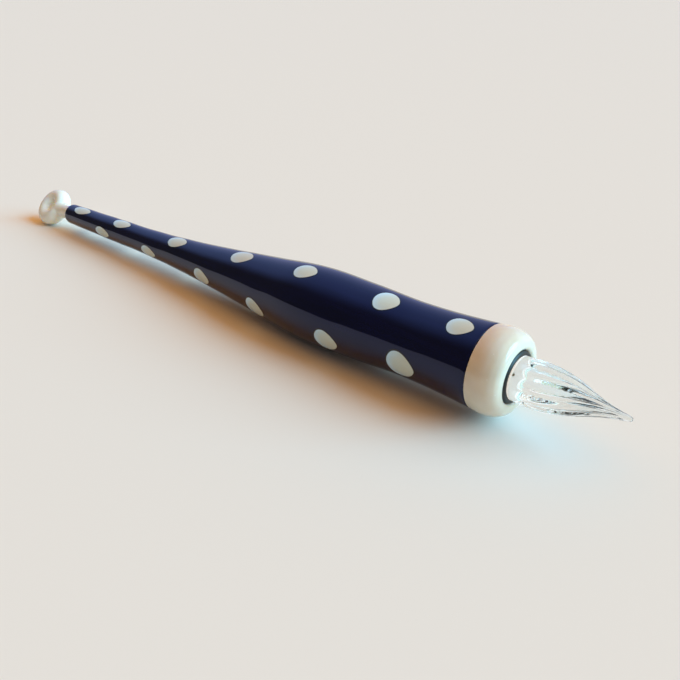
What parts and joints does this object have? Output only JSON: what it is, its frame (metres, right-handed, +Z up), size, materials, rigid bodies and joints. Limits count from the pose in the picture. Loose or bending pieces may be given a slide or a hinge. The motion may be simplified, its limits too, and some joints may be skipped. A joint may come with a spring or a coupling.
{
  "type": "glass dip pen",
  "caption": "Glass dip pen: dotted cobalt barrel with a milk-glass collar and hanging loop, and a fluted clear nib that pulls out of rubber seals.",
  "frame": {"origin": "on the surface the pen lies on, under the middle of its bounding box", "axes": "+X towards the nib along the pen's length, +Z up; the pen lies on its belly and its loop, so its axis rises about 1.8 degrees towards +X"},
  "size_m": [0.173, 0.0156, 0.0167],
  "materials": {
    "cobalt_glass": "gloss",
    "milk_glass": "gloss",
    "loop_glass": "gloss",
    "dot_glass": "gloss",
    "clear_glass": "gloss",
    "seal_rubber": "satin"
  },
  "bodies": {
    "handle": {"barrel": "cobalt_glass", "collar": "milk_glass", "hanging_loop": "loop_glass", "dot_a1": "dot_glass", "dot_a2": "dot_glass", "dot_a3": "dot_glass", "dot_a4": "dot_glass", "dot_a5": "dot_glass", "dot_a6": "dot_glass", "dot_a7": "dot_glass", "dot_b1": "dot_glass", "dot_b2": "dot_glass", "dot_b3": "dot_glass", "dot_b4": "dot_glass", "dot_b5": "dot_glass", "dot_b6": "dot_glass", "dot_c1": "dot_glass", "dot_c2": "dot_glass", "dot_c3": "dot_glass", "dot_c4": "dot_glass", "dot_c5": "dot_glass", "dot_c6": "dot_glass", "dot_c7": "dot_glass", "dot_d1": "dot_glass", "dot_d2": "dot_glass", "dot_d3": "dot_glass", "dot_d4": "dot_glass", "dot_d5": "dot_glass", "dot_d6": "dot_glass"},
    "seals": {"seal_front": "seal_rubber", "seal_rear": "seal_rubber"},
    "nib": {"nib": "clear_glass"}
  },
  "joints": [
    {"name": "nib_pull", "type": "slide", "parent": "handle", "child": "seals", "axis": [0.9995, 0, 0.031], "range_m": [0, 0.024]},
    {"name": "nib_twist", "type": "hinge", "parent": "seals", "child": "nib", "pos_m": [0.0625, 0, 0.00893], "axis": [0.9995, 0, 0.031], "continuous": true}
  ]
}
